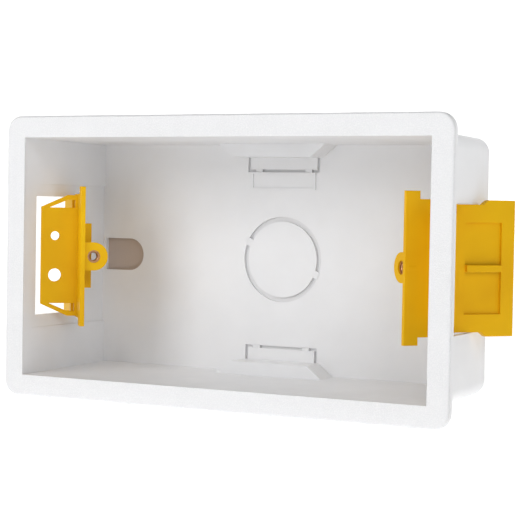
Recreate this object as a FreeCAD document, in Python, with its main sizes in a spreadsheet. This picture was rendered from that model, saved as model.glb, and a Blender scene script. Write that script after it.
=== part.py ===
# Plasterboard back box for two wiring accessories: one white moulded box
# with a flange, and two yellow clamping lugs that ride in its side windows.
# Millimetres. X runs along the long side, Y points into the wall and Z is up.
# The origin is the middle of the outside face of the back wall.
import FreeCAD, Part
import os
import Sketcher

DOCUMENT = FreeCAD.newDocument("back_box")
SHEET = DOCUMENT.addObject("Spreadsheet::Sheet", "Sizes")

SIZES = {
    # The flange that stays in front of the board.
    "flange_rim": 6.5,
    "flange_thick": 2.4,
    "flange_corner": 4.8,
    "flange_edge": 0.7,
    # The tub behind it.
    "box_depth": 47.0,
    "mouth_width": 133.0,
    "mouth_height": 73.0,
    "wall": 2.0,
    "back_wall": 2.0,
    "draft": 0.9,
    "outer_round": 4.5,
    # The windows in the short walls and the shallow track round each.
    "window_front": 6.6,
    "window_back": 34.0,
    "window_height": 37.0,
    "track_height": 44.6,
    "track_sunk": 0.6,
    # Marks on the back wall.
    "knockout_out": 13.4,
    "knockout_in": 11.9,
    "groove_deep": 0.9,
    "web": 2.2,
    "frame_long": 22.4,
    "frame_tall": 5.4,
    "frame_line": 0.6,
    "frame_up": 0.4,
    "frame_rise": 24.6,
    # Pockets that clear the ends of the cover's screws.
    "relief_round": 5.2,
    "relief_inset": 10.5,
    "relief_deep": 1.3,
    # Conduit flaps at the middle of the long walls, against the back.
    "flap_wide": 25.0,
    "flap_foot": 38.0,
    "flap_rise": 4.6,
    "flap_long": 9.0,
    "flap_tall": 4.6,
    "slot": 0.9,
    "bridge": 2.6,
    # A clamping lug, measured from the middle of its screw hole.
    "tab_round": 4.4,
    "tab_thick": 2.6,
    "insert_round": 2.0,
    "insert_bore": 1.45,
    "insert_long": 3.4,
    "insert_sunk": 0.5,
    "blade_gap": 2.9,
    "blade_thick": 1.4,
    "blade_proud": 0.9,
    "blade_long": 33.6,
    "head_tall": 43.6,
    "head_long": 4.4,
    "shank_tall": 39.0,
    "neck_from": 14.4,
    "neck_to": 23.3,
    "neck_gap": 0.3,
    "rim_up": 0.9,
    "rim_from": 14.6,
    "rim_line": 3.0,
    "cell_line": 6.4,
    "cell_rib": 2.0,
    "plate_back": 7.5,
    "plate_thick": 1.5,
    "plate_long": 11.4,
    "plate_root": 38.2,
    "plate_tip": 30.6,
    "arm_flat": 3.0,
    "arm_thick": 1.5,
    "panel_tall": 30.2,
    "small_hole": 1.4,
    "large_hole": 2.05,
    "hole_in": 7.0,
    "hole_rise": 6.2,
    "stub_long": 3.1,
    "stub_tall": 20.4,
    # Where the lugs sit: hole centre in from the mouth and behind the front.
    "lug_inset": 14.9,
    "lug_behind": 16.6,
    "lug_swing": 41.0,
}

for row, (alias, size) in enumerate(SIZES.items(), start=1):
    SHEET.set(f"A{row}", alias)
    SHEET.set(f"B{row}", str(size))
    SHEET.setAlias(f"B{row}", alias)
DOCUMENT.recompute()



def bound(text):
    """Write each size word in a formula as a reference to the sheet."""
    pieces = []
    for token in text.replace("(", " ( ").replace(")", " ) ").split():
        pieces.append(f"Sizes.{token}" if token in SIZES else token)
    return " ".join(pieces)


def worked(text):
    """The present value of a formula."""
    return float(SHEET.evalExpression(bound(text)))


def new_body(label):
    body = DOCUMENT.addObject("PartDesign::Body", label)
    body.Label = label
    return body


def new_sketch(body, name, plane, away="0"):
    """A sketch on one of the body's own planes, moved along its normal."""
    sketch = body.newObject("Sketcher::SketchObject", name)
    for feature in body.Origin.OriginFeatures:
        if feature.Role == plane:
            sketch.AttachmentSupport = [(feature, "")]
    sketch.MapMode = "FlatFace"
    if away != "0":
        sketch.setExpression(".AttachmentOffset.Base.z", bound(away))
    return sketch


def place_point(sketch, geometry, end, formulas):
    """Tie one point of the sketch to two formulas."""
    for kind, axis, formula in (("DistanceX", -2, formulas[0]), ("DistanceY", -1, formulas[1])):
        if formula == "0":
            sketch.addConstraint(Sketcher.Constraint("PointOnObject", geometry, end, axis))
            continue
        rule = Sketcher.Constraint(kind, -1, 1, geometry, end, worked(formula))
        number = sketch.addConstraint(rule)
        sketch.setExpression(f"Constraints[{number}]", bound(formula))


def polygon(sketch, corners):
    """A closed outline through corners, each a pair of formulas."""
    places = [FreeCAD.Vector(worked(x), worked(y), 0) for x, y in corners]
    first = sketch.GeometryCount
    count = len(corners)
    for index in range(count):
        line = Part.LineSegment(places[index], places[(index + 1) % count])
        sketch.addGeometry(line)
    for index in range(count):
        following = first + (index + 1) % count
        sketch.addConstraint(Sketcher.Constraint("Coincident", first + index, 2, following, 1))
    for index, corner in enumerate(corners):
        place_point(sketch, first + index, 1, corner)


def rectangle(sketch, left, right, low, high):
    polygon(sketch, [(left, low), (right, low), (right, high), (left, high)])


def circle(sketch, centre, radius):
    """A circle about a pair of formulas."""
    middle = FreeCAD.Vector(worked(centre[0]), worked(centre[1]), 0)
    number = sketch.addGeometry(Part.Circle(middle, FreeCAD.Vector(0, 0, 1), worked(radius)))
    place_point(sketch, number, 3, centre)
    rule = sketch.addConstraint(Sketcher.Constraint("Radius", number, worked(radius)))
    sketch.setExpression(f"Constraints[{rule}]", bound(radius))


def solid_feature(kind, body, name, sketch, length, reverse=False, both=False, taper=None):
    """A pad or a pocket of the sketch, with a check that it changed the body."""
    before = body.Shape.Volume if body.Tip else 0.0
    feature = body.newObject(f"PartDesign::{kind}", name)
    feature.Profile = sketch
    feature.setExpression("Length", bound(length))
    feature.Reversed = reverse
    feature.Midplane = both
    if taper is not None:
        feature.setExpression("TaperAngle", bound(taper))
    DOCUMENT.recompute()
    if abs(feature.Shape.Volume - before) < 0.01:
        raise RuntimeError(f"{body.Label} {name} changes nothing")
    return feature


def fillet(body, name, base, radius, wanted):
    """Round the edges of the base feature that wanted picks."""
    edges = [f"Edge{i}" for i, edge in enumerate(base.Shape.Edges, start=1) if wanted(edge)]
    feature = body.newObject("PartDesign::Fillet", name)
    feature.Base = (base, edges)
    feature.setExpression("Radius", bound(radius))
    DOCUMENT.recompute()
    return feature


def runs_along_y(edge):
    if len(edge.Vertexes) < 2:
        return False
    span = edge.Vertexes[1].Point - edge.Vertexes[0].Point
    return abs(span.y) > 0.9 * span.Length and abs(span.y) > 0.5


def make_box():
    """The white moulding, drawn with the front of its flange at Y = 0."""
    body = new_body("box_body")
    body.setExpression(".Placement.Base.y", bound("-1 * box_depth"))

    tub = new_sketch(body, "tub_outline", "XZ_Plane")
    wide = "mouth_width / 2 + wall"
    tall = "mouth_height / 2 + wall"
    rectangle(tub, f"-1 * ( {wide} )", wide, f"-1 * ( {tall} )", tall)
    tub_pad = solid_feature("Pad", body, "tub", tub, "box_depth", True, taper="-1 * draft")
    back = worked("box_depth")

    def tub_edge(edge):
        on_back = all(abs(v.Y - back) < 0.01 for v in edge.Vertexes)
        return runs_along_y(edge) or on_back

    fillet(body, "tub_rounding", tub_pad, "outer_round", tub_edge)

    rim = new_sketch(body, "flange_outline", "XZ_Plane")
    out = "( mouth_width / 2 + flange_rim )"
    above = "( mouth_height / 2 + flange_rim )"
    rectangle(rim, f"-1 * {out}", out, f"-1 * {above}", above)
    flange = solid_feature("Pad", body, "flange", rim, "flange_thick", True)
    side = worked(out) - 0.01

    def flange_corner(edge):
        return runs_along_y(edge) and all(abs(v.X) > side for v in edge.Vertexes)

    rounded = fillet(body, "flange_rounding", flange, "flange_corner", flange_corner)

    def front_edge(edge):
        return all(abs(v.Y) < 0.001 for v in edge.Vertexes)

    fillet(body, "flange_softening", rounded, "flange_edge", front_edge)

    mouth = new_sketch(body, "mouth_outline", "XZ_Plane")
    rectangle(mouth, "-1 * mouth_width / 2", "mouth_width / 2",
              "-1 * mouth_height / 2", "mouth_height / 2")
    solid_feature("Pocket", body, "cavity", mouth, "box_depth - back_wall",
                  False, taper="-1 * draft")
    make_flaps(body)
    make_windows(body)
    make_back_marks(body)
    return body


def make_windows(body):
    """The two windows with the sunk track that each lug's head slides in."""
    track = new_sketch(body, "track_outline", "YZ_Plane")
    rectangle(track, "window_front - 2", "box_depth - back_wall",
              "-1 * track_height / 2", "track_height / 2")
    solid_feature("Pocket", body, "tracks", track, "mouth_width + 2 * track_sunk - 1.2",
                  both=True)
    window = new_sketch(body, "window_outline", "YZ_Plane")
    rectangle(window, "window_front", "window_back",
              "-1 * window_height / 2", "window_height / 2")
    solid_feature("Pocket", body, "windows", window, "mouth_width + 4 * wall", both=True)


def make_flaps(body):
    """Conduit flaps: a low inward step on each long wall, slotted all round."""
    inner = "( mouth_height / 2 )"
    for end, sign in (("low", "-1"), ("high", "1")):
        step = new_sketch(body, f"step_outline_{end}", "XZ_Plane",
                          "-1 * ( box_depth - back_wall - flap_long )")
        polygon(step, [
            ("-1 * flap_foot / 2", f"{sign} * {inner}"),
            ("flap_foot / 2", f"{sign} * {inner}"),
            ("flap_wide / 2 + slot", f"{sign} * ( {inner} - flap_rise )"),
            ("-1 * flap_wide / 2 - slot", f"{sign} * ( {inner} - flap_rise )"),
        ])
        solid_feature("Pad", body, f"step_{end}", step, "flap_long", True)
        hollow = new_sketch(body, f"hollow_outline_{end}", "XZ_Plane",
                            "-1 * ( box_depth - back_wall - flap_long + wall )")
        polygon(hollow, [
            ("-1 * flap_wide / 2", f"{sign} * ( {inner} - flap_rise + wall )"),
            ("flap_wide / 2", f"{sign} * ( {inner} - flap_rise + wall )"),
            ("flap_wide / 2", f"{sign} * ( {inner} + 2 * wall )"),
            ("-1 * flap_wide / 2", f"{sign} * ( {inner} + 2 * wall )"),
        ])
        solid_feature("Pocket", body, f"hollow_{end}", hollow, "flap_long + back_wall")
        slit = new_sketch(body, f"slit_outline_{end}", "XZ_Plane",
                          "-1 * ( box_depth - back_wall )")
        top = f"{sign} * ( {inner} - flap_rise )"
        crown = f"{sign} * ( {inner} - flap_rise - flap_tall )"
        under = f"{sign} * ( {inner} - flap_rise - flap_tall + slot )"
        polygon(slit, [
            ("-1 * flap_wide / 2", top),
            ("-1 * flap_wide / 2", crown),
            ("flap_wide / 2", crown),
            ("flap_wide / 2", top),
            ("flap_wide / 2 - slot", top),
            ("flap_wide / 2 - slot", under),
            ("-1 * flap_wide / 2 + slot", under),
            ("-1 * flap_wide / 2 + slot", top),
        ])
        solid_feature("Pocket", body, f"slit_{end}", slit, "2 * groove_deep", both=True)


def make_back_marks(body):
    """The round knockout, the blank raised frame and the screw reliefs."""
    face = "-1 * ( box_depth - back_wall )"
    ring = new_sketch(body, "knockout_outline", "XZ_Plane", face)
    circle(ring, ("0", "0"), "knockout_out")
    circle(ring, ("0", "0"), "knockout_in")
    solid_feature("Pocket", body, "knockout", ring, "2 * groove_deep", both=True)

    frame = new_sketch(body, "frame_outline", "XZ_Plane", face)
    rectangle(frame, "-1 * frame_long / 2", "frame_long / 2",
              "frame_rise - frame_tall / 2", "frame_rise + frame_tall / 2")
    rectangle(frame, "-1 * frame_long / 2 + frame_line", "frame_long / 2 - frame_line",
              "frame_rise - frame_tall / 2 + frame_line",
              "frame_rise + frame_tall / 2 - frame_line")
    solid_feature("Pad", body, "name_frame", frame, "frame_up")

    for end, sign in (("left", "-1"), ("right", "1")):
        relief = new_sketch(body, f"relief_outline_{end}", "XZ_Plane", face)
        polygon(relief, [
            (f"{sign} * ( mouth_width / 2 - relief_inset )", "-1 * relief_round"),
            (f"{sign} * ( mouth_width / 2 - 1.2 )", "-1 * relief_round"),
            (f"{sign} * ( mouth_width / 2 - 1.2 )", "relief_round"),
            (f"{sign} * ( mouth_width / 2 - relief_inset )", "relief_round"),
        ])
        solid_feature("Pocket", body, f"relief_{end}", relief, "2 * relief_deep", both=True)
        nose = new_sketch(body, f"nose_outline_{end}", "XZ_Plane", face)
        circle(nose, (f"{sign} * ( mouth_width / 2 - relief_inset )", "0"), "relief_round")
        solid_feature("Pocket", body, f"relief_nose_{end}", nose, "2 * relief_deep", both=True)


def make_lug(label, side):
    """One yellow clamping lug, drawn for the right side about its screw hole."""
    body = new_body(label)
    s = "1" if side > 0 else "-1"

    blade = new_sketch(body, "blade_outline", "YZ_Plane", f"{s} * ( blade_gap + blade_thick / 2 )")
    front = "-1 * blade_proud"
    neck = "( window_height / 2 - neck_gap )"
    polygon(blade, [
        (front, "-1 * head_tall / 2"),
        ("head_long - blade_proud", "-1 * head_tall / 2"),
        ("head_long - blade_proud", "-1 * shank_tall / 2"),
        ("neck_from", "-1 * shank_tall / 2"),
        ("neck_from", f"-1 * {neck}"),
        ("neck_to", f"-1 * {neck}"),
        ("neck_to + 1.6", "-1 * shank_tall / 2"),
        ("blade_long", "-1 * shank_tall / 2"),
        ("blade_long", "shank_tall / 2"),
        ("neck_to + 1.6", "shank_tall / 2"),
        ("neck_to", neck),
        ("neck_from", neck),
        ("neck_from", "shank_tall / 2"),
        ("head_long - blade_proud", "shank_tall / 2"),
        ("head_long - blade_proud", "head_tall / 2"),
        (front, "head_tall / 2"),
    ])
    solid_feature("Pad", body, "blade", blade, "blade_thick", both=True)

    rim = new_sketch(body, "rim_outline", "YZ_Plane",
                     f"{s} * ( blade_gap + blade_thick + rim_up / 2 )")
    polygon(rim, [
        ("rim_from", f"-1 * {neck}"),
        ("neck_to", f"-1 * {neck}"),
        ("neck_to + 1.6", "-1 * shank_tall / 2"),
        ("blade_long", "-1 * shank_tall / 2"),
        ("blade_long", "shank_tall / 2"),
        ("neck_to + 1.6", "shank_tall / 2"),
        ("neck_to", neck),
        ("rim_from", neck),
    ])
    for sign in ("-1", "1"):
        rectangle(rim, "rim_from + rim_line", "blade_long - rim_line - 1.2",
                  f"{sign} * cell_rib / 2", f"{sign} * ( shank_tall / 2 - cell_line )")
    solid_feature("Pad", body, "rim", rim, "rim_up", both=True)

    tab = new_sketch(body, "tab_outline", "XZ_Plane")
    circle(tab, ("0", "0"), "tab_round")
    solid_feature("Pad", body, "tab", tab, "tab_thick", True)
    root = new_sketch(body, "tab_root_outline", "XZ_Plane")
    rectangle(root, "0", f"{s} * ( blade_gap + blade_thick / 2 )",
              "-1 * tab_round", "tab_round")
    solid_feature("Pad", body, "tab_root", root, "tab_thick", True)

    plate = new_sketch(body, "plate_outline", "XZ_Plane", "-1 * plate_back")
    start = "( blade_gap + blade_thick )"
    tip = f"( {start} + plate_long )"
    polygon(plate, [
        (f"{s} * ( {start} - blade_thick / 2 )", "-1 * plate_root / 2"),
        (f"{s} * ( {start} + arm_flat )", "-1 * plate_root / 2"),
        (f"{s} * {tip}", "-1 * plate_tip / 2"),
        (f"{s} * {tip}", "plate_tip / 2"),
        (f"{s} * ( {start} + arm_flat )", "plate_root / 2"),
        (f"{s} * ( {start} - blade_thick / 2 )", "plate_root / 2"),
    ])
    for sign in ("-1", "1"):
        polygon(plate, [
            (f"{s} * ( {start} + 0.8 )", f"{sign} * panel_tall / 2"),
            (f"{s} * ( {tip} - 2.6 )", f"{sign} * panel_tall / 2"),
            (f"{s} * ( {start} + arm_flat )", f"{sign} * ( plate_root / 2 - arm_thick )"),
            (f"{s} * ( {start} + 0.8 )", f"{sign} * ( plate_root / 2 - arm_thick )"),
        ])
    circle(plate, (f"{s} * ( {start} + hole_in )", "hole_rise"), "small_hole")
    circle(plate, (f"{s} * ( {start} + hole_in )", "-1 * hole_rise"), "large_hole")
    solid_feature("Pad", body, "plate", plate, "plate_thick", True)

    stub = new_sketch(body, "stub_outline", "XZ_Plane", "-1 * plate_back")
    rectangle(stub, f"{s} * ( blade_gap - stub_long )", f"{s} * ( blade_gap + blade_thick / 2 )",
              "-1 * stub_tall / 2", "stub_tall / 2")
    solid_feature("Pad", body, "stub", stub, "plate_thick", True)

    hole = new_sketch(body, "hole_outline", "XZ_Plane")
    circle(hole, ("0", "0"), "insert_round")
    solid_feature("Pocket", body, "screw_hole", hole, "4 * tab_thick", both=True)
    seat(body, side)
    return body


def make_insert(label, side):
    """The brass bush pressed in the tab, which takes the cover's screw."""
    body = new_body(label)
    ring = new_sketch(body, "bush_outline", "XZ_Plane", "-1 * insert_sunk")
    circle(ring, ("0", "0"), "insert_round")
    circle(ring, ("0", "0"), "insert_bore")
    solid_feature("Pad", body, "bush", ring, "insert_long", True)
    seat(body, side)
    return body


def seat(body, side):
    """Turn a lug about Z and put its screw hole in place."""
    sign = "1" if side > 0 else "-1"
    body.Placement = FreeCAD.Placement(
        FreeCAD.Vector(0, 0, 0), FreeCAD.Rotation(FreeCAD.Vector(0, 0, 1), -side))
    body.setExpression(".Placement.Base.x", bound(f"{sign} * ( mouth_width / 2 - lug_inset )"))
    body.setExpression(".Placement.Base.y", bound("lug_behind - box_depth"))
    body.setExpression(".Placement.Rotation.Angle", bound("lug_swing"))
    body.setExpression(".Placement.Rotation.Axis.z", f"{-1 * side}")


def write_parts(bodies):
    """Check every object, then write each body's shape to its own file."""
    DOCUMENT.recompute()
    for item in DOCUMENT.Objects:
        if "Invalid" in item.State or "Error" in item.State:
            raise RuntimeError(f"{item.Name} failed: {item.State}")
    os.makedirs("parts", exist_ok=True)
    for body in bodies:
        shape = body.Shape
        if shape.isNull() or not shape.isValid():
            raise RuntimeError(f"{body.Label} has no valid shape")
        box = shape.BoundBox
        print(body.Label, len(shape.Solids), round(shape.Volume, 2),
              [round(v, 2) for v in (box.XMin, box.XMax, box.YMin, box.YMax, box.ZMin, box.ZMax)])
        shape.exportStep(f"parts/{body.Label}.step")


write_parts([
    make_box(),
    make_lug("lug_left", -1),
    make_lug("lug_right", 1),
    make_insert("insert_left", -1),
    make_insert("insert_right", 1),
])
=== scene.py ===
"""Finish, fine detail, light and camera for a plasterboard back box.

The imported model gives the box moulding, two yellow clamping lugs and their brass bushes.
This scene softens the moulded edges and gives every surface its own finish. It adds the bush
threads, the ribs on the tails, the slots at the conduit flaps and the small bridges that hold
the knockouts. Lengths are in metres.
"""

from __future__ import annotations

import logging
import math
from dataclasses import dataclass, field
from enum import Enum

import bmesh
import bpy
from mathutils import Matrix, Vector

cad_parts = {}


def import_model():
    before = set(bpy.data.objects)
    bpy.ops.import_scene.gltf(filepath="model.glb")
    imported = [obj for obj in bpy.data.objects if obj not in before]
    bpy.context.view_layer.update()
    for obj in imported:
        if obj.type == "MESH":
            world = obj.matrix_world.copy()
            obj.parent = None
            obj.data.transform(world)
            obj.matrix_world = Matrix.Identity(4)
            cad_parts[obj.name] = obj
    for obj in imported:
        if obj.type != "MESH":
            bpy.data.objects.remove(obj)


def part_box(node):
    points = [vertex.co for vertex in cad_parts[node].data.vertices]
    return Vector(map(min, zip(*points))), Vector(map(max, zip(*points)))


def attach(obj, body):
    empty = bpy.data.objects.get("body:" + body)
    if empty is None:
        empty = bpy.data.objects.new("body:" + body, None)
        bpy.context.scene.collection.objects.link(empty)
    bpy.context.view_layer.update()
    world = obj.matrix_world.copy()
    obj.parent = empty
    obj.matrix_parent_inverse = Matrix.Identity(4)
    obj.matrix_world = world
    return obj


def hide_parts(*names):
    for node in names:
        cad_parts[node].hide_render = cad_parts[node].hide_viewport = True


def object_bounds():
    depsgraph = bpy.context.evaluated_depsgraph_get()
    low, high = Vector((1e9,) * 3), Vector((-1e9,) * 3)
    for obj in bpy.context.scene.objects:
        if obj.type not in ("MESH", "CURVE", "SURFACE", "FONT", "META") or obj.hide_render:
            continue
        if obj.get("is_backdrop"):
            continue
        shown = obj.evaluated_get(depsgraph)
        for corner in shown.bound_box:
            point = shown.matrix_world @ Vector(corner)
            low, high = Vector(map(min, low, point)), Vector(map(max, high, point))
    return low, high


LOG = logging.getLogger("back_box")
MM = 0.001
FRAME_PIXELS = 515
SENSOR_MM = 36.0
MERGE_WITHIN = 0.002 * MM
FLAT_WITHIN = math.radians(0.6)
SHARP_FROM = math.radians(38)
EDGE_SEGMENTS = 2
ROUND_PROFILE = 0.5
FACE_AREA_WEIGHT = 60
WHITE_LIGHT = (1.0, 1.0, 1.0, 1.0)
BOX_MIDDLE = (0.0, -0.02, 0.0)

Band = tuple[float, float]
Colour = tuple[float, float, float]
Place = tuple[float, float, float]

FULL_BAND: Band = (0.0, 1.0)
NOISE_BAND: Band = (0.3, 0.7)


class Side(Enum):
    """The two ends of the box, with the sign of X at each."""

    LEFT = -1
    RIGHT = 1

    @property
    def word(self) -> str:
        """The side's name in lower case, as the nodes use it.

        Returns:
            The word left or right.
        """
        return self.name.lower()

    @property
    def body(self) -> str:
        """The body that this side's lug moves with.

        Returns:
            The body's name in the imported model.
        """
        return f"{self.word}_lug"


@dataclass(frozen=True)
class Grain:
    """A noise pattern: cells per metre, octaves, and the strength of the finer octaves."""

    scale: float
    detail: float
    rough: float


class Graph:
    """A material's node tree, with short calls to add and join nodes."""

    def __init__(self, name: str) -> None:
        """Start an empty material.

        Args:
            name: The material's name.
        """
        self.material = bpy.data.materials.new(name)
        self.material.use_nodes = True
        self.tree = self.material.node_tree
        self.shader = self.tree.nodes["Principled BSDF"]
        self.place = self.tree.nodes.new("ShaderNodeTexCoord").outputs["Object"]

    def node(self, kind: str, **values: object) -> bpy.types.Node:
        """Add one node.

        Args:
            kind: Blender's name of the node type.
            **values: Properties to set on it.

        Returns:
            The new node.
        """
        made = self.tree.nodes.new(kind)
        for key, value in values.items():
            setattr(made, key, value)
        return made

    def join(self, source: bpy.types.NodeSocket, target: bpy.types.NodeSocket) -> None:
        """Link an output to an input.

        Args:
            source: The output.
            target: The input that it feeds.
        """
        self.tree.links.new(source, target)

    def noise(self, grain: Grain) -> bpy.types.NodeSocket:
        """A noise pattern on object coordinates.

        Args:
            grain: The pattern's measures.

        Returns:
            The pattern's value, about 0 to 1.
        """
        made = self.node("ShaderNodeTexNoise")
        made.inputs["Scale"].default_value = grain.scale
        made.inputs["Detail"].default_value = grain.detail
        made.inputs["Roughness"].default_value = grain.rough
        self.join(self.place, made.inputs["Vector"])
        return made.outputs["Fac"]

    def remap(self, value: bpy.types.NodeSocket, source: Band,
              target: Band = FULL_BAND) -> bpy.types.NodeSocket:
        """Stretch a value from one band to another, held at both ends.

        Args:
            value: The value to stretch.
            source: Where the value's band starts and ends.
            target: What those two ends become.

        Returns:
            The stretched value.
        """
        made = self.node("ShaderNodeMapRange", clamp=True)
        made.inputs["From Min"].default_value = source[0]
        made.inputs["From Max"].default_value = source[1]
        made.inputs["To Min"].default_value = target[0]
        made.inputs["To Max"].default_value = target[1]
        self.join(value, made.inputs["Value"])
        return made.outputs["Result"]

    def math(self, operation: str, first: bpy.types.NodeSocket,
             second: bpy.types.NodeSocket | float = 0.0) -> bpy.types.NodeSocket:
        """One arithmetic step on one or two values.

        Args:
            operation: Blender's name of the operation.
            first: The first value.
            second: The second value, linked or plain.

        Returns:
            The result.
        """
        made = self.node("ShaderNodeMath", operation=operation)
        self.join(first, made.inputs[0])
        if isinstance(second, bpy.types.NodeSocket):
            self.join(second, made.inputs[1])
        else:
            made.inputs[1].default_value = second
        return made.outputs[0]

    def above(self, value: bpy.types.NodeSocket, limit: float) -> bpy.types.NodeSocket:
        """A mask of where a value passes a limit.

        Args:
            value: The value to test.
            limit: The limit.

        Returns:
            One above the limit and zero elsewhere.
        """
        return self.math("GREATER_THAN", value, limit)

    def below(self, value: bpy.types.NodeSocket, limit: float) -> bpy.types.NodeSocket:
        """A mask of where a value stays under a limit.

        Args:
            value: The value to test.
            limit: The limit.

        Returns:
            One under the limit and zero elsewhere.
        """
        return self.math("LESS_THAN", value, limit)

    def all_of(self, first: bpy.types.NodeSocket,
               *others: bpy.types.NodeSocket) -> bpy.types.NodeSocket:
        """The product of several masks or shares.

        Args:
            first: The first mask.
            *others: The masks it is multiplied by.

        Returns:
            The product.
        """
        product = first
        for other in others:
            product = self.math("MULTIPLY", product, other)
        return product

    def mix(self, share: bpy.types.NodeSocket, first: bpy.types.NodeSocket | Colour,
            second: bpy.types.NodeSocket | Colour) -> bpy.types.NodeSocket:
        """Blend two colours.

        Args:
            share: How much of the second colour shows.
            first: A linked or plain colour.
            second: A linked or plain colour.

        Returns:
            The blended colour.
        """
        made = self.node("ShaderNodeMix", data_type="RGBA")
        self.join(share, made.inputs[0])
        for socket, colour in ((made.inputs[6], first), (made.inputs[7], second)):
            if isinstance(colour, bpy.types.NodeSocket):
                self.join(colour, socket)
            else:
                socket.default_value = (*colour, 1.0)
        return made.outputs[2]

    def axes(self) -> dict[str, bpy.types.NodeSocket]:
        """The object coordinates as three values.

        Returns:
            The sockets named X, Y and Z.
        """
        made = self.node("ShaderNodeSeparateXYZ")
        self.join(self.place, made.inputs[0])
        return {axis: made.outputs[axis] for axis in "XYZ"}

    def relief(self, height: bpy.types.NodeSocket, strength: float, depth: float) -> None:
        """Give the surface a bump.

        Args:
            height: The height pattern.
            strength: How strongly it shows.
            depth: The relief's depth in metres.
        """
        made = self.node("ShaderNodeBump")
        made.inputs["Strength"].default_value = strength
        made.inputs["Distance"].default_value = depth
        self.join(height, made.inputs["Height"])
        self.join(made.outputs["Normal"], self.shader.inputs["Normal"])


@dataclass(frozen=True)
class WhiteMoulding:
    """Satin white plastic, speckled on the flange, with painted shade in the back-wall grooves and
    painted shade and painted yellow reflection in the screw reliefs.
    """

    colour: Colour = (0.855, 0.86, 0.875)
    speck: Colour = (0.90, 0.90, 0.91)
    # painted shade and painted yellow reflection for the screw-relief pockets in the back wall
    relief_shade: Colour = (0.47, 0.375, 0.315)
    # painted shade for the grooves and slits in the back wall
    groove_shade: Colour = (0.78, 0.78, 0.79)
    fine: Grain = Grain(2600.0, 4.0, 0.7)
    cloud: Grain = Grain(75.0, 3.0, 0.6)
    speck_band: Band = (0.44, 0.62)
    cloud_band: Band = (0.3, 0.75)
    rough_band: Band = (0.34, 0.44)
    # the painted shade is strongest at the left relief and weaker at the right
    relief_shade_left_to_right: Band = (0.85, 0.25)
    flange_at: float = -46.2 * MM
    floor_at: float = -1.7 * MM
    outside_at: float = -0.4 * MM
    relief_from: float = 50.0 * MM
    relief_to: float = 65.2 * MM
    groove_shade_to: float = 30.0 * MM
    relief_half: float = 10.0 * MM
    groove_shade_half: float = 33.0 * MM
    cloud_shade: float = 0.965
    speck_share: float = 0.9
    grain_share: float = 0.05
    bump: float = 0.5
    grain_deep: float = 0.12 * MM
    skin_share: float = 0.08
    skin_deep: Colour = (3.0 * MM, 3.0 * MM, 2.8 * MM)

    def make(self) -> bpy.types.Material:
        """Build the material.

        Returns:
            The finished material.
        """
        graph = Graph("white_moulding")
        axes = graph.axes()
        fine = graph.noise(self.fine)
        cloud = graph.noise(self.cloud)
        specks = graph.all_of(graph.remap(fine, self.speck_band),
                              graph.below(axes["Y"], self.flange_at))
        tone = graph.mix(graph.remap(cloud, self.cloud_band), self.colour,
                         tuple(self.cloud_shade * part for part in self.colour))
        tone = graph.mix(specks, tone, self.speck)

        across = graph.math("ABSOLUTE", axes["X"])
        rise = graph.math("ABSOLUTE", axes["Z"])
        inside = graph.all_of(graph.above(axes["Y"], self.floor_at),
                              graph.below(axes["Y"], self.outside_at))
        relief_shade_mask = graph.all_of(inside, graph.above(across, self.relief_from),
                              graph.below(across, self.relief_to),
                              graph.below(rise, self.relief_half))
        # painted shade in the knockout groove and the slits at the middle of the back wall
        groove_shade_mask = graph.all_of(inside, graph.below(across, self.groove_shade_to),
                            graph.below(rise, self.groove_shade_half))
        tone = graph.mix(groove_shade_mask, tone, self.groove_shade)
        # painted shade and painted yellow reflection in the screw reliefs, fading from left to
        # right
        relief_shade_fade = graph.remap(axes["X"], (-self.relief_from, self.relief_from),
                            self.relief_shade_left_to_right)
        tone = graph.mix(graph.all_of(relief_shade_mask, relief_shade_fade), tone, self.relief_shade)

        graph.join(tone, graph.shader.inputs["Base Color"])
        graph.join(graph.remap(cloud, NOISE_BAND, self.rough_band),
                   graph.shader.inputs["Roughness"])
        graph.shader.inputs["Subsurface Weight"].default_value = self.skin_share
        graph.shader.inputs["Subsurface Radius"].default_value = self.skin_deep
        grain = graph.math("ADD", graph.math("MULTIPLY", specks, self.speck_share),
                           graph.math("MULTIPLY", fine, self.grain_share))
        graph.relief(grain, self.bump, self.grain_deep)
        return graph.material


@dataclass(frozen=True)
class YellowMoulding:
    """Deep yellow plastic with faint, more orange flow marks."""

    bright: Colour = (0.87, 0.51, 0.003)
    deep: Colour = (0.80, 0.43, 0.002)
    flow: Grain = Grain(55.0, 3.0, 0.5)
    fine: Grain = Grain(1500.0, 3.0, 0.6)
    rough_band: Band = (0.42, 0.55)
    shine: float = 0.16
    bump: float = 0.25
    grain_deep: float = 0.06 * MM

    def make(self) -> bpy.types.Material:
        """Build the material.

        Returns:
            The finished material.
        """
        graph = Graph("yellow_moulding")
        flow = graph.noise(self.flow)
        fine = graph.noise(self.fine)
        tone = graph.mix(graph.remap(flow, NOISE_BAND), self.bright, self.deep)
        graph.join(tone, graph.shader.inputs["Base Color"])
        graph.join(graph.remap(fine, NOISE_BAND, self.rough_band),
                   graph.shader.inputs["Roughness"])
        graph.shader.inputs["Specular IOR Level"].default_value = self.shine
        graph.relief(fine, self.bump, self.grain_deep)
        return graph.material


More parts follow.
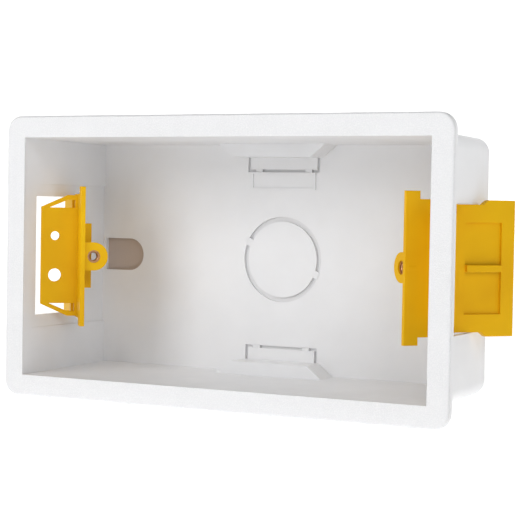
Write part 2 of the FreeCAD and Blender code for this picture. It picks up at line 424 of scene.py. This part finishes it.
@dataclass(frozen=True)
class TurnedBrass:
    """Dull coppery brass, unevenly tarnished."""

    colour: Colour = (0.66, 0.35, 0.17)
    dark: Colour = (0.40, 0.22, 0.12)
    tarnish: Grain = Grain(900.0, 4.0, 0.6)
    tarnish_band: Band = (0.35, 0.7)
    rough_band: Band = (0.3, 0.5)
    metal: float = 0.85
    bump: float = 0.2
    grain_deep: float = 0.03 * MM

    def make(self) -> bpy.types.Material:
        """Build the material.

        Returns:
            The finished material.
        """
        graph = Graph("turned_brass")
        tarnish = graph.noise(self.tarnish)
        graph.join(graph.mix(graph.remap(tarnish, self.tarnish_band), self.colour, self.dark),
                   graph.shader.inputs["Base Color"])
        graph.join(graph.remap(tarnish, NOISE_BAND, self.rough_band),
                   graph.shader.inputs["Roughness"])
        graph.shader.inputs["Metallic"].default_value = self.metal
        graph.relief(tarnish, self.bump, self.grain_deep)
        return graph.material


@dataclass(frozen=True)
class StudioPaper:
    """The pale seamless paper that the box stands on."""

    colour: Colour = (0.93, 0.93, 0.93)
    fibre: Grain = Grain(400.0, 2.0, 0.5)
    rough: float = 0.9
    glow: float = 0.6
    fibre_shade: float = 0.985

    def make(self) -> bpy.types.Material:
        """Build the material.

        Returns:
            The finished material.
        """
        graph = Graph("studio_paper")
        fibre = graph.noise(self.fibre)
        pale = tuple(self.fibre_shade * part for part in self.colour)
        graph.join(graph.mix(graph.remap(fibre, NOISE_BAND), self.colour, pale),
                   graph.shader.inputs["Base Color"])
        graph.shader.inputs["Roughness"].default_value = self.rough
        graph.shader.inputs["Emission Color"].default_value = WHITE_LIGHT
        graph.shader.inputs["Emission Strength"].default_value = self.glow
        return graph.material


@dataclass(frozen=True)
class Palette:
    """Every finish of the object, built once."""

    white: bpy.types.Material = field(default_factory=lambda: WhiteMoulding().make())
    yellow: bpy.types.Material = field(default_factory=lambda: YellowMoulding().make())
    brass: bpy.types.Material = field(default_factory=lambda: TurnedBrass().make())


def new_piece(name: str, mesh_form: bmesh.types.BMesh,
              finish: bpy.types.Material) -> bpy.types.Object:
    """Turn a bmesh into an object at the origin with one finish.

    Args:
        name: The piece's name.
        mesh_form: The form, which is freed.
        finish: The material it takes.

    Returns:
        The new object.
    """
    mesh = bpy.data.meshes.new(name)
    mesh_form.to_mesh(mesh)
    mesh_form.free()
    piece = bpy.data.objects.new(name, mesh)
    bpy.context.scene.collection.objects.link(piece)
    mesh.materials.append(finish)
    return piece


def rounded_block(size: Vector, round_by: float) -> bmesh.types.BMesh:
    """A block about the origin with rounded edges.

    Args:
        size: Its full size along X, Y and Z.
        round_by: Width of the rounding in metres.

    Returns:
        The form, which the caller frees.
    """
    form = bmesh.new()
    bmesh.ops.create_cube(form, size=1.0)
    bmesh.ops.scale(form, vec=size, verts=form.verts)
    bmesh.ops.bevel(form, geom=form.edges, offset=round_by, affect="EDGES",
                    segments=EDGE_SEGMENTS, profile=ROUND_PROFILE, material=-1)
    return form


def softened_copy(node: str, name: str, round_by: float,
                  finish: bpy.types.Material) -> bpy.types.Object:
    """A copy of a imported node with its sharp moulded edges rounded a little.

    Args:
        node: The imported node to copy.
        name: The new piece's name.
        round_by: Width of the rounding in metres.
        finish: The material it takes.

    Returns:
        The new object, which replaces the node.
    """
    form = bmesh.new()
    form.from_mesh(bpy.data.objects[node].data)
    bmesh.ops.remove_doubles(form, verts=form.verts, dist=MERGE_WITHIN)
    bmesh.ops.dissolve_limit(form, angle_limit=FLAT_WITHIN, verts=form.verts, edges=form.edges)
    bmesh.ops.recalc_face_normals(form, faces=form.faces)
    piece = new_piece(name, form, finish)
    bevel = piece.modifiers.new("moulded_edges", "BEVEL")
    bevel.width = round_by
    bevel.segments = EDGE_SEGMENTS
    bevel.limit_method = "ANGLE"
    bevel.angle_limit = SHARP_FROM
    bevel.use_clamp_overlap = True
    piece.data.shade_smooth()
    weighted = piece.modifiers.new("even_shading", "WEIGHTED_NORMAL")
    weighted.keep_sharp = False
    weighted.weight = FACE_AREA_WEIGHT
    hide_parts(node)
    return piece


@dataclass
class BoxMoulding:
    """The white box: its finish, the slots at its flaps and the bridges at its knockouts."""

    finish: bpy.types.Material
    edge_round: float = 0.22 * MM
    wall_face: float = -2.0 * MM
    ring_middle: float = 12.65 * MM
    ring_wide: float = 1.9 * MM
    bridge_wide: float = 2.4 * MM
    bridge_deep: float = 0.85 * MM
    bridge_round: float = 0.08 * MM
    ring_angles: tuple[float, ...] = (156.0, -21.0)
    slit_rise: float = 27.75 * MM
    slit_tall: float = 1.3 * MM
    bridge_across: float = 8.6 * MM
    slot_at: float = -11.5 * MM
    slot_long: float = 0.9 * MM
    slot_rise: float = 36.8 * MM
    slot_deep: float = 4.0 * MM
    slot_ends_mm: tuple[Band, ...] = ((-11.8, -8.9), (-7.5, 7.5), (8.9, 11.8))

    def bridge(self, name: str, centre: Vector, size: Vector, turn: float) -> bpy.types.Object:
        """One small web across a groove in the back wall.

        Args:
            name: The piece's name.
            centre: Its middle.
            size: Its full size along X, Y and Z before the turn.
            turn: Its angle about Y, in radians.

        Returns:
            The new object.
        """
        form = rounded_block(size, self.bridge_round)
        bmesh.ops.rotate(form, matrix=Matrix.Rotation(-turn, 3, "Y"), verts=form.verts)
        bmesh.ops.translate(form, vec=centre, verts=form.verts)
        piece = new_piece(name, form, self.finish)
        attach(piece, "box")
        return piece

    def cut_flap_slots(self, shell: bpy.types.Object) -> None:
        """Cut the slots at the foot of each conduit flap, with a web left between them.

        Args:
            shell: The box moulding, before its edges are softened.
        """
        form = bmesh.new()
        for level in (-1, 1):
            for start, end in self.slot_ends_mm:
                made = bmesh.ops.create_cube(form, size=1.0)["verts"]
                size = Vector(((end - start) * MM, self.slot_long, self.slot_deep))
                bmesh.ops.scale(form, vec=size, verts=made)
                centre = Vector(((start + end) / 2 * MM, self.slot_at, level * self.slot_rise))
                bmesh.ops.translate(form, vec=centre, verts=made)
        cutter = new_piece("flap_slot_cutter", form, self.finish)
        cut = shell.modifiers.new("flap_slots", "BOOLEAN")
        cut.operation = "DIFFERENCE"
        cut.solver = "EXACT"
        cut.object = cutter
        shell.modifiers.move(len(shell.modifiers) - 1, 0)
        with bpy.context.temp_override(object=shell, active_object=shell):
            bpy.ops.object.modifier_apply(modifier=cut.name)
        spare = cutter.data
        bpy.data.objects.remove(cutter)
        bpy.data.meshes.remove(spare)

    def knockout_bridges(self) -> list[bpy.types.Object]:
        """The two webs across the round knockout's groove.

        Returns:
            The new objects.
        """
        made = []
        size = Vector((self.ring_wide, self.bridge_deep, self.bridge_wide))
        for number, degrees in enumerate(self.ring_angles, start=1):
            turn = math.radians(degrees)
            centre = Vector((self.ring_middle * math.cos(turn),
                             self.wall_face + self.bridge_deep / 2,
                             self.ring_middle * math.sin(turn)))
            made.append(self.bridge(f"knockout_bridge_{number}", centre, size, turn))
        return made

    def flap_bridges(self) -> list[bpy.types.Object]:
        """The four webs across the slits above and below the conduit flaps.

        Returns:
            The new objects.
        """
        made = []
        size = Vector((self.bridge_wide, self.bridge_deep, self.slit_tall))
        for level in (-1, 1):
            for side in Side:
                centre = Vector((side.value * self.bridge_across,
                                 self.wall_face + self.bridge_deep / 2,
                                 level * self.slit_rise))
                name = f"flap_bridge_{'top' if level > 0 else 'bottom'}_{side.word}"
                made.append(self.bridge(name, centre, size, 0.0))
        return made

    def build(self) -> list[bpy.types.Object]:
        """Dress the moulding and add its bridges.

        Returns:
            Every new piece.
        """
        shell = softened_copy("box_body", "box_moulding", self.edge_round, self.finish)
        self.cut_flap_slots(shell)
        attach(shell, "box")
        return [shell, *self.knockout_bridges(), *self.flap_bridges()]


@dataclass
class ClampLug:
    """One yellow lug with its threaded brass bush."""

    side: Side
    palette: Palette
    edge_round: float = 0.2 * MM
    swing: float = math.radians(41.0)
    thread_round: float = 1.5 * MM
    thread_tall: float = 0.28 * MM
    pitch: float = 0.6 * MM
    thread_half: float = 0.252 * MM
    turns: int = 5
    steps: int = 32
    bush_middle: float = 2.2 * MM
    rib_foot: float = 4.2 * MM
    rib_crown: float = 6.1 * MM
    rib_from: float = 17.8 * MM
    rib_to: float = 29.3 * MM
    rib_wide: float = 2.0 * MM

    def placed(self, form: bmesh.types.BMesh) -> None:
        """Move a form from the lug's own axes, about its screw hole, to the lug's place.

        Args:
            form: The form, drawn with X outwards, Y backwards and Z up.
        """
        low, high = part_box(f"insert_{self.side.word}")
        middle = (Vector(low) + Vector(high)) / 2
        turn = Matrix.Rotation(-self.side.value * self.swing, 3, "Z")
        bmesh.ops.rotate(form, matrix=turn, verts=form.verts)
        bmesh.ops.translate(form, vec=middle - turn @ Vector((0, self.bush_middle, 0)),
                            verts=form.verts)
        bmesh.ops.recalc_face_normals(form, faces=form.faces)

    def tail_rib(self) -> bpy.types.Object:
        """The raised rib between the two cells on the lug's tail.

        Returns:
            The new object.
        """
        size = Vector((self.rib_crown - self.rib_foot, self.rib_to - self.rib_from, self.rib_wide))
        form = rounded_block(size, self.edge_round)
        middle = Vector((self.side.value * (self.rib_foot + self.rib_crown) / 2,
                         (self.rib_from + self.rib_to) / 2, 0.0))
        bmesh.ops.translate(form, vec=middle, verts=form.verts)
        self.placed(form)
        piece = new_piece(f"tail_rib_{self.side.word}", form, self.palette.yellow)
        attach(piece, self.side.body)
        return piece

    def thread(self) -> bpy.types.Object:
        """The helical thread inside the bush, spun from a small triangle.

        Returns:
            The new object.
        """
        form = bmesh.new()
        corners = [
            form.verts.new((self.thread_round, -self.thread_half, 0.0)),
            form.verts.new((self.thread_round - self.thread_tall, 0.0, 0.0)),
            form.verts.new((self.thread_round, self.thread_half, 0.0)),
        ]
        face = form.faces.new(corners)
        total = self.turns * self.steps
        bmesh.ops.spin(form, geom=[face], cent=(0, 0, 0), axis=(0, 1, 0),
                       dvec=(0, self.pitch / self.steps, 0),
                       angle=2 * math.pi * self.turns, steps=total)
        start = self.bush_middle - self.pitch * self.turns / 2
        bmesh.ops.translate(form, vec=(0, start, 0), verts=form.verts)
        self.placed(form)
        piece = new_piece(f"bush_thread_{self.side.word}", form, self.palette.brass)
        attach(piece, self.side.body)
        return piece

    def build(self) -> list[bpy.types.Object]:
        """Dress the lug and its bush.

        Returns:
            Every new piece.
        """
        lug = softened_copy(f"lug_{self.side.word}", f"clamp_lug_{self.side.word}",
                            self.edge_round, self.palette.yellow)
        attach(lug, self.side.body)
        bush = bpy.data.objects[f"insert_{self.side.word}"]
        bush.data.materials.clear()
        bush.data.materials.append(self.palette.brass)
        return [lug, self.tail_rib(), self.thread()]


@dataclass(frozen=True)
class Lamp:
    """One square soft light: its place and side in metres, its power in watts and its aim."""

    name: str
    at: Place
    size: float
    power: float
    look_at: Place = BOX_MIDDLE

    def hang(self) -> bpy.types.Object:
        """Put the light in the scene.

        Returns:
            The light's object.
        """
        data = bpy.data.lights.new(self.name, "AREA")
        data.size = self.size
        data.energy = self.power
        made = bpy.data.objects.new(self.name, data)
        bpy.context.scene.collection.objects.link(made)
        made.location = self.at
        ahead = Vector(self.look_at) - Vector(self.at)
        made.rotation_euler = ahead.to_track_quat("-Z", "Y").to_euler()
        return made


@dataclass
class Studio:
    """The seamless paper, the soft lights and the camera."""

    camera_at: Vector = field(default_factory=lambda: Vector((221.8, -449.5, 17.5)) * MM)
    yaw: float = -0.4757
    pitch: float = -0.0340
    roll: float = 0.0173
    focal_pixels: float = 1594.0
    floor_half: float = 1.6
    sweep_round: float = 0.5
    sweep_back: float = 1.1
    sweep_up: float = 1.6
    sweep_steps: int = 24
    key: Lamp = Lamp("key_light", (-0.55, -1.1, 0.5), 0.6, 6.0)
    fill: Lamp = Lamp("fill_light", (0.9, -1.0, 0.75), 0.7, 4.6)
    back: Lamp = Lamp("paper_light", (0.0, 0.3, 1.2), 1.2, 8.0, (0.0, 1.6, 1.15))
    air_glow: float = 0.2
    sees_from: float = 0.01
    sees_to: float = 20.0

    def paper(self, level: float) -> bpy.types.Object:
        """The floor that curves up behind the box.

        Args:
            level: Height of the floor.

        Returns:
            The new object.
        """
        form = bmesh.new()
        start = form.verts.new((-self.floor_half, -self.floor_half, level))
        front = form.verts.new((-self.floor_half, self.sweep_back, level))
        form.edges.new((start, front))
        bend = bmesh.ops.spin(form, geom=[front], axis=(1, 0, 0), steps=self.sweep_steps,
                              cent=(0, self.sweep_back, level + self.sweep_round),
                              angle=math.pi / 2)
        top = [part for part in bend["geom_last"] if isinstance(part, bmesh.types.BMVert)][0]
        crown = form.verts.new(top.co + Vector((0, 0, self.sweep_up)))
        form.edges.new((top, crown))
        wide = bmesh.ops.extrude_edge_only(form, edges=form.edges)
        moved = [part for part in wide["geom"] if isinstance(part, bmesh.types.BMVert)]
        bmesh.ops.translate(form, vec=(2 * self.floor_half, 0, 0), verts=moved)
        bmesh.ops.recalc_face_normals(form, faces=form.faces)
        piece = new_piece("studio_paper", form, StudioPaper().make())
        piece.data.shade_smooth()
        piece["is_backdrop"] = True
        return piece

    def lights(self) -> None:
        """A large key from the upper left, a fill from the upper right, one on the paper."""
        for lamp in (self.key, self.fill, self.back):
            lamp.hang()
        world = bpy.data.worlds.new("studio_air")
        bpy.context.scene.world = world
        world.use_nodes = True
        air = world.node_tree.nodes["Background"]
        air.inputs["Color"].default_value = WHITE_LIGHT
        air.inputs["Strength"].default_value = self.air_glow
        bpy.context.scene.view_settings.view_transform = "Standard"

    def camera(self) -> bpy.types.Object:
        """The camera, as fitted to the photograph.

        Returns:
            The camera object.
        """
        data = bpy.data.cameras.new("photo_camera")
        data.sensor_fit = "HORIZONTAL"
        data.sensor_width = SENSOR_MM
        data.lens = SENSOR_MM * self.focal_pixels / FRAME_PIXELS
        data.clip_start = self.sees_from
        data.clip_end = self.sees_to
        made = bpy.data.objects.new("photo_camera", data)
        bpy.context.scene.collection.objects.link(made)
        ahead = Vector((math.sin(self.yaw) * math.cos(self.pitch),
                        math.cos(self.yaw) * math.cos(self.pitch), math.sin(self.pitch)))
        level = Vector((math.cos(self.yaw), -math.sin(self.yaw), 0.0))
        above = level.cross(ahead)
        right = level * math.cos(self.roll) + above * math.sin(self.roll)
        up = above * math.cos(self.roll) - level * math.sin(self.roll)
        turn = Matrix((right, up, -ahead)).transposed()
        made.matrix_world = Matrix.Translation(self.camera_at) @ turn.to_4x4()
        bpy.context.scene.camera = made
        return made

    def build(self, level: float) -> None:
        """Set up the whole studio.

        Args:
            level: Height of the floor under the box.
        """
        self.paper(level)
        self.lights()
        self.camera()


def main() -> None:
    """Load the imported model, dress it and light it."""
    logging.basicConfig(level=logging.INFO, format="%(name)s: %(message)s")
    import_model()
    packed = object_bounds()
    palette = Palette()
    pieces = BoxMoulding(palette.white).build()
    for side in Side:
        pieces += ClampLug(side, palette).build()
    for piece in pieces:
        LOG.info("%s: %d faces", piece.name, len(piece.data.polygons))
    Studio().build(packed[0].z)


if __name__ == "__main__":
    main()
